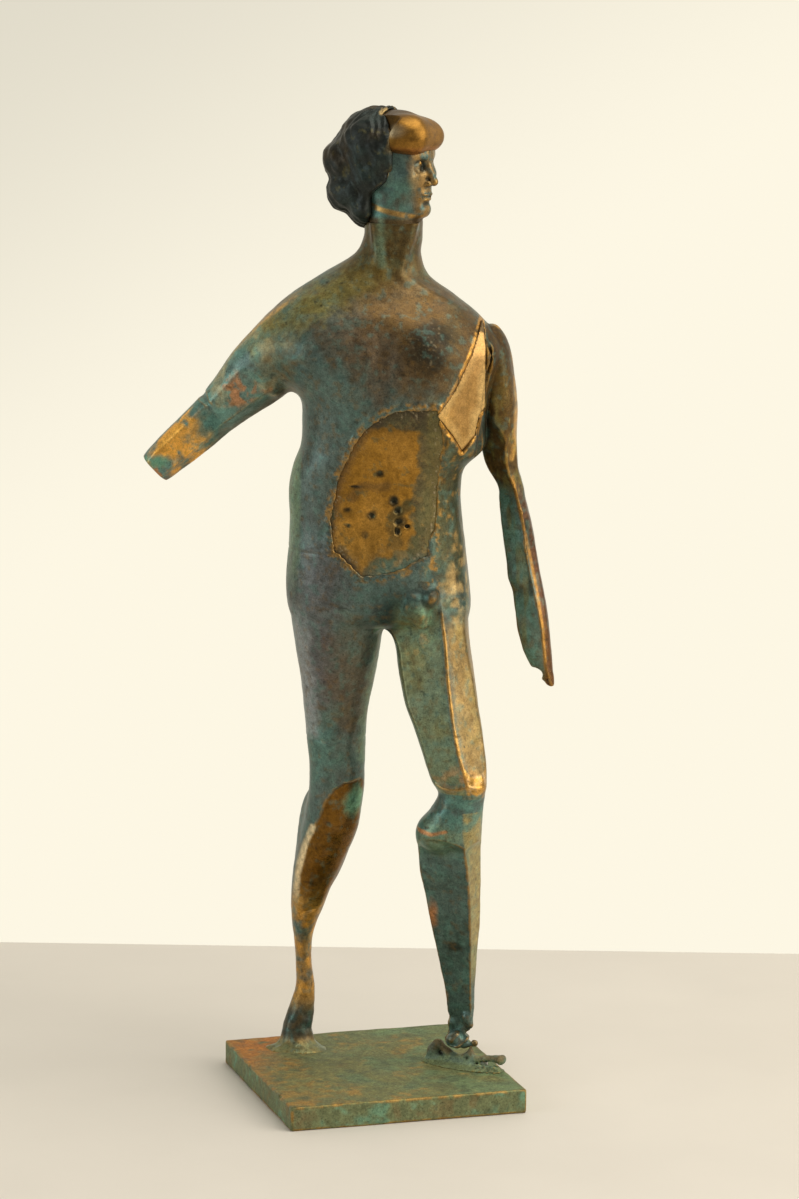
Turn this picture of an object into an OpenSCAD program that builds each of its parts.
// Cast bronze figurine of a striding figure on a square plate.
// Millimetres, +Z up. The origin is the centre of the plate's underside, the
// plate's edges run along X and Y, and the figure faces -Y.
// The figure is drawn in its own frame: u to the viewer's right, d to the
// back, z up, turned about Z by figure_yaw. Castings are lofts through
// sections; neighbours meet face to face on flat joint planes and are held
// by dowels.

/* [Plate] */
// Length of each side of the square plate
plate_w = 100; // [96:1:110]
// Thickness of the plate
plate_t = 10; // [9:0.5:10]
// Rounding of the plate's upright corners
plate_corner = 1.2; // [0.5:0.1:3]
// Worn chamfer round the plate's top edge
plate_chamfer = 0.6; // [0.2:0.1:1]

/* [Figure] */
// Turn of the figure about the upright axis, from the plate's edges
figure_yaw = -17.5; // [-21:0.5:-14]
// Thickness of all the castings, as a share of the drawn sections
girth = 1; // [0.97:0.01:1.03]

/* [Joints] */
// Radius of the large dowels at neck, shoulders, waist and hips
dowel_r = 3; // [2.5:0.1:3.2]
// Radius of the knee dowels
knee_r = 2.5; // [2:0.1:2.6]
// Radius of the elbow dowels
elbow_r = 2; // [1.5:0.1:2.1]
// Radius of the small dowels behind hair, forelock and panels
small_r = 1.1; // [0.8:0.1:1.2]
// Radial clearance of a dowel in its bore
dowel_gap = 0.05; // [0.02:0.01:0.1]
// Length of the large dowels
dowel_len = 18; // [14:1:18]

/* [Fixings] */
// Diameter of the countersunk screw under the supporting leg
leg_screw_d = 4; // [3.5:0.5:4]
// Diameter of the two countersunk screws under the foot fragment
foot_screw_d = 3; // [2.5:0.5:3]
// Depth of the screw heads below the plate's underside
head_sink = 0.4; // [0.3:0.1:0.6]

/* [Inset panels] */
// How far the belly panel lies below the surface round it
belly_relief = 1.6; // [1:0.1:2.2]
// Depth coordinate of the belly pocket's floor
belly_floor = -13; // [-14:0.5:-11]
// Depth coordinate of the flank pocket's floor
flank_floor = -5; // [-6:0.5:-4]

/* [Smoothness] */
// Number of sides of a limb's sections
limb_sides = 24; // [16:2:28]
// Number of sides of the trunk's and head's sections
trunk_sides = 36; // [24:4:40]

/* [Hidden] */
$fn = 48;

// Joint planes
hip_z = 198;
waist_z = 228;
neck_z = 361;
right_knee_z = 148;
left_knee_z = 130;
right_shoulder_u = -38;
left_shoulder_u = 41;
crown_z = 393;
face_yaw = -30;
face_c = [-1, 3];

// Patina colours
GREEN = [0.30, 0.40, 0.32];
TEAL = [0.25, 0.38, 0.38];
BROWN = [0.36, 0.30, 0.20];
GOLD = [0.70, 0.48, 0.20];
STEEL = [0.62, 0.62, 0.60];

// A section is [u, d, z, half-width, half-depth, tilt, pitch, yaw, exponent].
// Shared sections lie in the joint planes.
WAIST = [-1.5, 1, waist_z, 36, 23.5, 0, 0, 0, 2.5];
NECK = [3.8, 2, neck_z, 12.5, 13, 0, 0, 0, 2];
R_KNEE = [-17.3, 8, right_knee_z, 12.2, 12.5, 0, 0, 0, 2.2];
L_KNEE = [34.2, -19, left_knee_z, 9.6, 9.5, 0, 0, 0, 2.2];
R_ELBOW = [-67, -3, 282.6, 8.9, 8.7, -134, 0, 0, 2.2];
L_ELBOW = [53.3, 6.3, 247, 5.4, 8.8, 0, 0, 0, 2.2];

S_PELVIS = [
    [-0.5, 3, hip_z, 36.5, 25, 0, 0, 0, 2.6],
    [-1, 3.5, 206, 37.3, 26, 0, 0, 0, 2.6],
    [-1.3, 2.5, 217, 37, 25.5, 0, 0, 0, 2.5],
    WAIST];
S_TORSO = [
    WAIST,
    [-2, 0, 240, 35, 22, 0, 0, 0, 2.5],
    [-2.8, -0.5, 252, 34.8, 22, 0, 0, 0, 2.5],
    [-1.2, -1, 262, 34.6, 23, 0, 0, 0, 2.5],
    [4, -1, 270, 36.9, 25, 0, 0, 0, 2.5],
    [4.6, -1.2, 280, 37, 27, 0, 0, 0, 2.4],
    [4.5, -1.5, 290, 38.2, 28.3, 0, 0, 0, 2.4],
    [1, -1.5, 300, 44, 28.5, 0, 0, 0, 2.4],
    [-1, -1, 311, 49, 27.5, 0, 0, 0, 2.4],
    [-3, 0.5, 322, 43, 24, 0, 0, 0, 2.3],
    [-4, 2, 331, 33, 19, 0, 0, 0, 2.2],
    [-3.5, 3, 339, 21.5, 15.5, 0, 0, 0, 2.1],
    [1, 3, 347, 14, 13.5, 0, 0, 0, 2],
    [3.5, 2.5, 354, 12.5, 13, 0, 0, 0, 2],
    NECK];
S_R_UPPER_ARM = [
    [right_shoulder_u, -1, 311.5, 18.5, 15.5, -90, 0, 0, 2.3],
    [-45, -1.5, 305, 14.8, 13.5, -112, 0, 0, 2.2],
    [-51.7, -2, 297.5, 12.6, 12, -128, 0, 0, 2.2],
    [-59, -2.5, 290.4, 10.5, 10.3, -134, 0, 0, 2.2],
    R_ELBOW];
S_R_FOREARM = [
    R_ELBOW,
    [-76.5, -4, 273.8, 8.4, 7.8, -134, 0, 0, 2.3],
    [-86.3, -5, 265, 7.2, 6.8, -134, 0, 0, 2.4],
    [-93.6, -5.5, 258, 6.2, 5.6, -134, 0, 0, 2.5],
    [-95, -5.6, 256.7, 4.8, 4.4, -134, 0, 0, 2.5]];
S_L_UPPER_ARM = [
    L_ELBOW,
    [52.3, 6, 253, 5.2, 9, 0, 0, 0, 2.2],
    [49, 5.5, 261, 6.3, 9.5, 0, 0, 0, 2.2],
    [47.5, 5, 269, 7.2, 10.5, 0, 0, 0, 2.2],
    [47.2, 4, 277, 7.3, 11, 0, 0, 0, 2.2],
    [47, 3, 288, 7.4, 12, 0, 0, 0, 2.2],
    [46, 2.5, 300, 6.9, 12.5, 0, 0, 0, 2.2],
    [45.2, 2, 309, 6.1, 11.5, 0, 0, 0, 2.2],
    [44.2, 2, 315.5, 4.6, 8.5, 0, 0, 0, 2.1],
    [43.4, 2, 319.5, 2.2, 4, 0, 0, 0, 2]];
S_L_FOREARM = [
    [70.3, -0.5, 171.5, 1.2, 1.6, 0, 0, 0, 2],
    [68.6, 0, 175, 2.8, 3.5, 0, 0, 0, 2],
    [66.3, 1, 180, 4.4, 5, 0, 0, 0, 2],
    [63.6, 2, 189, 6.2, 6.3, 0, 0, 0, 2.1],
    [61.4, 3.5, 202.5, 6.8, 7.2, 0, 0, 0, 2.2],
    [58.3, 5, 219, 6.5, 8, 0, 0, 0, 2.2],
    [55.4, 6, 235.5, 6.3, 8.6, 0, 0, 0, 2.2],
    L_ELBOW];
S_R_THIGH = [
    R_KNEE,
    [-17.5, 7, 160, 13.2, 14, 0, 0, 0, 2.2],
    [-17, 5.5, 172, 15, 16, 0, 0, 0, 2.2],
    [-17, 4, 184, 16.9, 18.5, 0, 0, 0, 2.2],
    [-17.4, 3, hip_z, 18.6, 21.5, 0, 0, 0, 2.3]];
S_R_LOWER_LEG = [
    [-32.6, 24, plate_t, 9, 7.4, 0, 0, 0, 2],
    [-32.2, 24, 13, 7, 6, 0, 0, 0, 2],
    [-31.9, 25, 20, 6, 5.2, 0, 0, 0, 2],
    [-30.2, 25.5, 29, 5, 4.6, 0, 0, 0, 2],
    [-29.2, 26, 37, 3.8, 4.3, 0, 0, 0, 2],
    [-29.9, 26, 46, 3.3, 4.3, 0, 0, 0, 2],
    [-30.2, 25.5, 55, 3.7, 5, 0, 0, 0, 2],
    [-29.9, 24.5, 63.5, 5, 6.5, 0, 0, 0, 2],
    [-28.5, 23, 72, 6.8, 8.5, 0, 0, 0, 2.1],
    [-26.8, 21, 81, 8.3, 10, 0, 0, 0, 2.1],
    [-24.4, 19, 90, 9.9, 11.5, 0, 0, 0, 2.1],
    [-21.8, 17, 99, 10.9, 12.5, 0, 0, 0, 2.2],
    [-19.3, 14.5, 108, 11.5, 13, 0, 0, 0, 2.2],
    [-17.9, 12, 117, 11.4, 12.8, 0, 0, 0, 2.2],
    [-16.8, 10, 126, 11.3, 12.3, 0, 0, 0, 2.2],
    [-16.8, 9, 136, 11.4, 12.1, 0, 0, 0, 2.2],
    R_KNEE];
S_L_THIGH = [
    L_KNEE,
    [33.2, -19.5, 136, 11.2, 11.5, 0, 0, 0, 2.2],
    [31.5, -18.5, 144, 12.5, 13, 0, 0, 0, 2.2],
    [28.5, -15.5, 156, 13.7, 14.5, 0, 0, 0, 2.2],
    [25.4, -12, 167, 14.9, 16, 0, 0, 0, 2.2],
    [23.2, -8, 179, 15.3, 17.5, 0, 0, 0, 2.2],
    [21.6, -5, 189, 15.3, 19, 0, 0, 0, 2.2],
    [19.4, -2, hip_z, 16.6, 21, 0, 0, 0, 2.3]];
S_L_LOWER_LEG = [
    [34, 3, 17.5, 3.2, 3.2, 0, 0, 0, 2],
    [34.2, 3, 21, 4.8, 4.4, 0, 0, 0, 2],
    [34.6, 2.5, 26, 5.5, 5.4, 0, 0, 0, 2],
    [35.2, 2, 34, 6, 6, 0, 0, 0, 2],
    [35, 1, 43, 6.4, 6.8, 0, 0, 0, 2],
    [34.3, 0, 51.5, 7.5, 7.6, 0, 0, 0, 2],
    [33.6, -2, 60.5, 8.5, 8.8, 0, 0, 0, 2],
    [33, -4, 69, 9.7, 10, 0, 0, 0, 2],
    [32.2, -6, 78, 10.7, 11.2, 0, 0, 0, 2],
    [31.3, -8, 87, 11.6, 12, 0, 0, 0, 2],
    [30.3, -10.5, 96, 12.4, 12.8, 0, 0, 0, 2.1],
    [29.8, -12.5, 105, 12.8, 13.2, 0, 0, 0, 2.1],
    [29.7, -14.5, 113.5, 13, 13, 0, 0, 0, 2.1],
    [31.9, -17, 122, 11.1, 11, 0, 0, 0, 2.2],
    L_KNEE];
S_HEAD = [
    [3.8, 2, neck_z, 12.5, 12.5, 0, 0, face_yaw, 2],
    [6, 0.5, 366, 14.5, 12.2, 0, 0, face_yaw, 2.1],
    [4, 1.5, 374, 17, 14, 0, 0, face_yaw, 2.1],
    [3, 2, 382, 19.5, 15.3, 0, 0, face_yaw, 2.1],
    [2, 2.5, 388, 20, 15.5, 0, 0, face_yaw, 2],
    [0.7, 3, crown_z, 19, 15, 0, 0, face_yaw, 2]];
S_HAIR = [
    [-12, 6, 357.5, 5.5, 9, 0, 0, face_yaw, 2],
    [-11.5, 5.5, 361, 9.5, 12.8, 0, 0, face_yaw, 2],
    [-10, 5.5, 367, 13.5, 15.5, 0, 0, face_yaw, 2],
    [-8, 5, 374, 17, 17, 0, 0, face_yaw, 2],
    [-7, 5, 382, 20.3, 18, 0, 0, face_yaw, 2.1],
    [-6, 4, 389, 20.3, 17.6, 0, 0, face_yaw, 2.1],
    [-4, 3, 395, 17.3, 15.5, 0, 0, face_yaw, 2],
    [-2, 2, 400, 12.5, 12, 0, 0, face_yaw, 2],
    [-1, 1.5, 404, 7.5, 7.5, 0, 0, face_yaw, 2],
    [-0.8, 1.5, 406, 3, 3, 0, 0, face_yaw, 2]];
S_FORELOCK = [
    [9, -2.5, crown_z, 14.5, 13, 0, 0, face_yaw, 2.1],
    [8.5, -2, 397, 14, 12, 0, 0, face_yaw, 2.1],
    [6, -1, 400.5, 11.5, 9.5, 0, 0, face_yaw, 2],
    [3, 0.5, 403.2, 8, 7, 0, 0, face_yaw, 2],
    [0.5, 1, 405, 4, 4, 0, 0, face_yaw, 2]];
// Foot fragment: sections across its length, drawn along its own X axis
FOOT_HEEL = [23, 8];
FOOT_YAW = -26.6;
S_FOOT = [
    [0, 0, plate_t, 3.5, 3.5, 90, 0, 0, 2],
    [2, 0, plate_t, 8, 5.6, 90, 0, 0, 2],
    [5, 0, plate_t, 9.3, 6.4, 90, 0, 0, 2],
    [9, 0, plate_t, 5.6, 6.6, 90, 0, 0, 2],
    [14, 0, plate_t, 4, 6.6, 90, 0, 0, 2],
    [18.5, 0, plate_t, 7.2, 5.6, 90, 0, 0, 2],
    [22, 0, plate_t, 4, 5.8, 90, 0, 0, 2],
    [27, 0, plate_t, 5, 5.4, 90, 0, 0, 2],
    [31.5, 0, plate_t, 5, 4, 90, 0, 0, 2],
    [34, 0, plate_t, 2.6, 2.4, 90, 0, 0, 2]];

// Outlines of the inset panels, in u and z
BELLY = [[1, 287], [11, 289], [22, 289], [24.5, 276], [22.5, 259], [22.5, 243],
    [19, 229], [6, 221.5], [-7.5, 220], [-19, 230], [-20.5, 243], [-18, 259],
    [-12, 272.5], [-6, 282]];
FLANK = [[39.5, 323], [41, 312], [41, 298], [41, 288], [38.5, 285], [37, 277],
    [32, 271], [29.5, 278], [26, 288], [31, 300], [35.5, 312]];

WAIST_PINS = [[-18, 2], [17, 2]];
R_HIP_PIN = [-17.4, 3];
L_HIP_PIN = [19.6, -2.5];
LEG_FIX = [-32.2, 24.2];
LEG_PIN = [-27, 24.2];
FOOT_FIX = [[27.5, 5.75], [45.8, -3.42]];
BELLY_PINS = [[2, 272], [1, 240]];
FLANK_PIN = [36, 296];
HAIR_PINS = [-7, 7];

function sgn(x) = x < 0 ? -1 : 1;
function sup(c, p) = sgn(c) * pow(abs(c), 2 / p);
function ring_pt(s, t) =
    let (x0 = girth * s[3] * sup(cos(t), s[8]), y0 = girth * s[4] * sup(sin(t), s[8]),
         x1 = x0 * cos(s[7]) - y0 * sin(s[7]), y1 = x0 * sin(s[7]) + y0 * cos(s[7]),
         y2 = y1 * cos(s[6]), z2 = y1 * sin(s[6]),
         x3 = x1 * cos(s[5]) + z2 * sin(s[5]), z3 = -x1 * sin(s[5]) + z2 * cos(s[5]))
    [s[0] + x3, s[1] + y2, s[2] + z3];
function cr(a, b, c, d, t) =
    0.5 * (2 * b + (c - a) * t + (2 * a - 5 * b + 4 * c - d) * t * t
        + (3 * b - a - 3 * c + d) * t * t * t);
function sections(S, m) = let (n = len(S)) [
    for (i = [0 : n - 2]) for (j = [0 : m - 1])
        cr(S[max(i - 1, 0)], S[i], S[i + 1], S[min(i + 2, n - 1)], j / m),
    S[n - 1]];

// Solid through the sections S, with m steps between neighbours and k sides
module loft(S, m, k) {
    R = sections(S, m);
    n = len(R);
    pts = [
        for (s = R) for (i = [0 : k - 1]) ring_pt(s, 360 * (i + 0.5) / k),
        [R[0][0], R[0][1], R[0][2]],
        [R[n - 1][0], R[n - 1][1], R[n - 1][2]]];
    faces = [
        for (r = [0 : n - 2]) for (i = [0 : k - 1]) let (j = (i + 1) % k)
            [r * k + i, (r + 1) * k + i, r * k + j],
        for (r = [0 : n - 2]) for (i = [0 : k - 1]) let (j = (i + 1) % k)
            [r * k + j, (r + 1) * k + i, (r + 1) * k + j],
        for (i = [0 : k - 1]) [n * k, i, (i + 1) % k],
        for (i = [0 : k - 1]) [n * k + 1, (n - 1) * k + (i + 1) % k, (n - 1) * k + i]];
    polyhedron(points = pts, faces = faces, convexity = 6);
}

module figure() { rotate([0, 0, figure_yaw]) children(); }
module dowel(r, l) { translate([0, 0, -l / 2]) cylinder(r = r, h = l); }
module bore(r, l) { dowel(r + dowel_gap, l + 1); }
module at(u, d, z) { translate([u, d, z]) children(); }
// Half-space in front of (s = 1) or behind (s = -1) the plane between face and hair
module face_side(s, z0, z1) {
    translate([face_c[0], face_c[1], 0]) rotate([0, 0, face_yaw])
        translate([s > 0 ? 0 : -60, -60, z0]) cube([60, 120, z1 - z0]);
}
module belly_prism(front, back) {
    translate([0, back, 0]) rotate([90, 0, 0]) linear_extrude(back - front) polygon(BELLY);
}
module flank_prism(front, back) {
    translate([0, back, 0]) rotate([90, 0, 0]) linear_extrude(back - front) polygon(FLANK);
}
// Countersunk screw pointing up, its head face at z = 0
module csk_screw(d, l, clear) {
    head_h = d * 0.57;
    difference() {
        union() {
            cylinder(d = d, h = l);
            cylinder(r1 = d + clear, r2 = d / 2, h = head_h);
        }
        if (clear == 0)
            translate([0, 0, -0.1]) cylinder(d = d * 0.7, h = head_h * 0.7, $fn = 6);
    }
}
// Through hole with countersink for the same screw, cut from z = 0 upwards
module csk_hole(d, gap) {
    translate([0, 0, -1]) cylinder(d = d + 2 * gap, h = plate_t + 2);
    translate([0, 0, -1]) cylinder(r = d + gap, h = head_sink + 1);
    translate([0, 0, head_sink]) cylinder(r1 = d + gap, r2 = d / 2 + gap, h = d * 0.57);
}
module leg_fix_at() { figure() translate([LEG_FIX[0], LEG_FIX[1], 0]) children(); }
module foot_fix_at() {
    for (p = FOOT_FIX) figure() translate([p[0], p[1], 0]) children();
}

module base_plate() {
    color(GREEN) difference() {
        hull() {
            linear_extrude(plate_t - plate_chamfer) plate_outline(0);
            linear_extrude(plate_t) plate_outline(plate_chamfer);
        }
        leg_fix_at() csk_hole(leg_screw_d, 0.15);
        foot_fix_at() csk_hole(foot_screw_d, 0.15);
        figure() at(LEG_PIN[0], LEG_PIN[1], plate_t - 4)
            cylinder(r = 1 + dowel_gap, h = 10);
    }
}
module plate_outline(inset) {
    s = plate_w / 2 - plate_corner;
    hull() for (x = [-s, s]) for (y = [-s, s])
        translate([x, y]) circle(r = plate_corner - min(inset, plate_corner - 0.1)
            , $fn = 24);
}

module left_foot_fragment() {
    color(TEAL) figure() difference() {
        translate([FOOT_HEEL[0], FOOT_HEEL[1], 0]) rotate([0, 0, FOOT_YAW])
            resize([0, 0, 0]) difference() {
                loft(S_FOOT, 2, 20);
                translate([-20, -20, plate_t - 30]) cube([80, 40, 30]);
            }
        for (p = FOOT_FIX) at(p[0], p[1], plate_t - 1)
            cylinder(d = foot_screw_d + 2 * dowel_gap, h = 4.1);
    }
}

module right_lower_leg() {
    color(GREEN) figure() difference() {
        loft(S_R_LOWER_LEG, 2, limb_sides);
        at(LEG_FIX[0], LEG_FIX[1], plate_t - 1)
            cylinder(d = leg_screw_d + 2 * dowel_gap, h = 11);
        at(LEG_PIN[0], LEG_PIN[1], plate_t - 1) cylinder(r = 1 + dowel_gap, h = 4.5);
        at(R_KNEE[0], R_KNEE[1], right_knee_z) bore(knee_r, 14);
    }
}
module right_thigh() {
    color(BROWN) figure() difference() {
        loft(S_R_THIGH, 4, limb_sides);
        at(R_KNEE[0], R_KNEE[1], right_knee_z) bore(knee_r, 14);
        at(R_HIP_PIN[0], R_HIP_PIN[1], hip_z) bore(dowel_r, dowel_len);
    }
}
module left_thigh() {
    color(BROWN) figure() difference() {
        loft(S_L_THIGH, 3, limb_sides);
        at(L_KNEE[0], L_KNEE[1], left_knee_z) bore(knee_r, 14);
        at(L_HIP_PIN[0], L_HIP_PIN[1], hip_z) bore(dowel_r, dowel_len);
    }
}
module left_lower_leg() {
    color(TEAL) figure() difference() {
        loft(S_L_LOWER_LEG, 2, limb_sides);
        at(L_KNEE[0], L_KNEE[1], left_knee_z) bore(knee_r, 14);
    }
}
module pelvis() {
    color(TEAL) figure() difference() {
        resize([0, 0, 0]) difference() {
            loft(S_PELVIS, 3, trunk_sides);
            belly_prism(-60, belly_floor);
        }
        for (p = WAIST_PINS) at(p[0], p[1], waist_z) bore(dowel_r, dowel_len);
        at(R_HIP_PIN[0], R_HIP_PIN[1], hip_z) bore(dowel_r, dowel_len);
        at(L_HIP_PIN[0], L_HIP_PIN[1], hip_z) bore(dowel_r, dowel_len);
    }
}
module torso() {
    color(TEAL) figure() difference() {
        resize([0, 0, 0]) difference() {
            loft(S_TORSO, 3, trunk_sides);
            belly_prism(-60, belly_floor);
            flank_prism(-60, flank_floor);
            at(right_shoulder_u - 60, -60, 200) cube([60, 120, 200]);
            at(left_shoulder_u, -60, 200) cube([60, 120, 200]);
        }
        for (p = WAIST_PINS) at(p[0], p[1], waist_z) bore(dowel_r, dowel_len);
        at(NECK[0], NECK[1], neck_z) bore(dowel_r, 15);
        at(right_shoulder_u, -1, 310) rotate([0, 90, 0]) bore(dowel_r, 15);
        at(left_shoulder_u, 2.5, 297) rotate([0, 90, 0]) bore(dowel_r, 13);
        for (p = BELLY_PINS) at(p[0], belly_floor, p[1]) rotate([90, 0, 0]) bore(small_r, 7);
        at(FLANK_PIN[0], flank_floor, FLANK_PIN[1]) rotate([90, 0, 0]) bore(small_r, 7);
    }
}
module belly_panel() {
    color(GOLD) figure() difference() {
        resize([0, 0, 0]) intersection() {
            translate([0, belly_relief, 0]) union() {
                loft(S_TORSO, 3, trunk_sides);
                loft(S_PELVIS, 3, trunk_sides);
            }
            belly_prism(-60, belly_floor);
        }
        for (p = BELLY_PINS) at(p[0], belly_floor, p[1]) rotate([90, 0, 0]) bore(small_r, 7);
    }
}
module flank_panel() {
    color(GOLD) figure() difference() {
        resize([0, 0, 0]) intersection() {
            loft(S_TORSO, 3, trunk_sides);
            flank_prism(-60, flank_floor);
        }
        at(FLANK_PIN[0], flank_floor, FLANK_PIN[1]) rotate([90, 0, 0]) bore(small_r, 7);
    }
}
module right_upper_arm() {
    color(BROWN) figure() difference() {
        loft(S_R_UPPER_ARM, 5, limb_sides);
        at(right_shoulder_u, -1, 310) rotate([0, 90, 0]) bore(dowel_r, 15);
        at(R_ELBOW[0], R_ELBOW[1], R_ELBOW[2]) rotate([0, R_ELBOW[5], 0]) bore(elbow_r, 13);
    }
}
module right_forearm() {
    color(GOLD) figure() difference() {
        loft(S_R_FOREARM, 4, limb_sides);
        at(R_ELBOW[0], R_ELBOW[1], R_ELBOW[2]) rotate([0, R_ELBOW[5], 0]) bore(elbow_r, 13);
    }
}
module left_upper_arm() {
    color(BROWN) figure() difference() {
        resize([0, 0, 0]) difference() {
            loft(S_L_UPPER_ARM, 3, limb_sides);
            at(left_shoulder_u - 60, -60, 200) cube([60, 120, 200]);
        }
        at(left_shoulder_u, 2.5, 297) rotate([0, 90, 0]) bore(dowel_r, 13);
        at(L_ELBOW[0], L_ELBOW[1], L_ELBOW[2]) bore(elbow_r, 13);
    }
}
module left_forearm() {
    color(BROWN) figure() difference() {
        loft(S_L_FOREARM, 3, limb_sides);
        at(L_ELBOW[0], L_ELBOW[1], L_ELBOW[2]) bore(elbow_r, 13);
    }
}
module hair_bores() {
    translate([face_c[0], face_c[1], 385]) rotate([0, 0, face_yaw])
        for (y = HAIR_PINS) translate([0, y, 0]) rotate([0, 90, 0]) children();
}
module head() {
    color(TEAL) figure() difference() {
        resize([0, 0, 0]) intersection() {
            loft(S_HEAD, 4, trunk_sides);
            face_side(1, neck_z - 5, crown_z + 5);
        }
        at(NECK[0], NECK[1], neck_z) bore(dowel_r, 15);
        hair_bores() bore(small_r, 10);
        at(8, -2, crown_z) bore(small_r, 7);
    }
}
module hair() {
    color(BROWN) figure() difference() {
        resize([0, 0, 0]) intersection() {
            difference() {
                loft(S_HAIR, 3, trunk_sides);
                loft(S_TORSO, 3, trunk_sides);
            }
            face_side(-1, neck_z - 5, crown_z + 20);
        }
        hair_bores() bore(small_r, 10);
    }
}
module forelock() {
    color(GOLD) figure() difference() {
        resize([0, 0, 0]) intersection() {
            loft(S_FORELOCK, 3, trunk_sides);
            face_side(1, crown_z, crown_z + 20);
        }
        at(8, -2, crown_z) bore(small_r, 7);
    }
}

module neck_pin() { color(STEEL) figure() at(NECK[0], NECK[1], neck_z) dowel(dowel_r, 15); }
module right_shoulder_pin() {
    color(STEEL) figure() at(right_shoulder_u, -1, 310) rotate([0, 90, 0]) dowel(dowel_r, 15);
}
module left_shoulder_pin() {
    color(STEEL) figure() at(left_shoulder_u, 2.5, 297) rotate([0, 90, 0]) dowel(dowel_r, 13);
}
module right_elbow_pin() {
    color(STEEL) figure() at(R_ELBOW[0], R_ELBOW[1], R_ELBOW[2])
        rotate([0, R_ELBOW[5], 0]) dowel(elbow_r, 13);
}
module left_elbow_pin() {
    color(STEEL) figure() at(L_ELBOW[0], L_ELBOW[1], L_ELBOW[2]) dowel(elbow_r, 13);
}
module waist_pins() {
    color(STEEL) figure() for (p = WAIST_PINS) at(p[0], p[1], waist_z) dowel(dowel_r, dowel_len);
}
module right_hip_pin() {
    color(STEEL) figure() at(R_HIP_PIN[0], R_HIP_PIN[1], hip_z) dowel(dowel_r, dowel_len);
}
module left_hip_pin() {
    color(STEEL) figure() at(L_HIP_PIN[0], L_HIP_PIN[1], hip_z) dowel(dowel_r, dowel_len);
}
module right_knee_pin() {
    color(STEEL) figure() at(R_KNEE[0], R_KNEE[1], right_knee_z) dowel(knee_r, 14);
}
module left_knee_pin() {
    color(STEEL) figure() at(L_KNEE[0], L_KNEE[1], left_knee_z) dowel(knee_r, 14);
}
module hair_pins() { color(STEEL) figure() hair_bores() dowel(small_r, 10); }
module forelock_pin() { color(STEEL) figure() at(8, -2, crown_z) dowel(small_r, 7); }
module belly_panel_pins() {
    color(STEEL) figure() for (p = BELLY_PINS)
        at(p[0], belly_floor, p[1]) rotate([90, 0, 0]) dowel(small_r, 7);
}
module flank_panel_pin() {
    color(STEEL) figure() at(FLANK_PIN[0], flank_floor, FLANK_PIN[1])
        rotate([90, 0, 0]) dowel(small_r, 7);
}
module leg_screw() {
    color(STEEL) leg_fix_at() translate([0, 0, head_sink])
        csk_screw(leg_screw_d, plate_t + 10 - head_sink, 0);
}
module leg_locating_pin() {
    color(STEEL) figure() at(LEG_PIN[0], LEG_PIN[1], plate_t - 3.6) cylinder(r = 1, h = 6.8);
}
module foot_screws() {
    color(STEEL) foot_fix_at() translate([0, 0, head_sink])
        csk_screw(foot_screw_d, plate_t + 2.9 - head_sink, 0);
}

base_plate();
left_foot_fragment();
right_lower_leg();
right_thigh();
left_thigh();
left_lower_leg();
pelvis();
torso();
belly_panel();
flank_panel();
right_upper_arm();
right_forearm();
left_upper_arm();
left_forearm();
head();
hair();
forelock();
neck_pin();
right_shoulder_pin();
left_shoulder_pin();
right_elbow_pin();
left_elbow_pin();
waist_pins();
right_hip_pin();
left_hip_pin();
right_knee_pin();
left_knee_pin();
hair_pins();
forelock_pin();
belly_panel_pins();
flank_panel_pin();
leg_screw();
leg_locating_pin();
foot_screws();
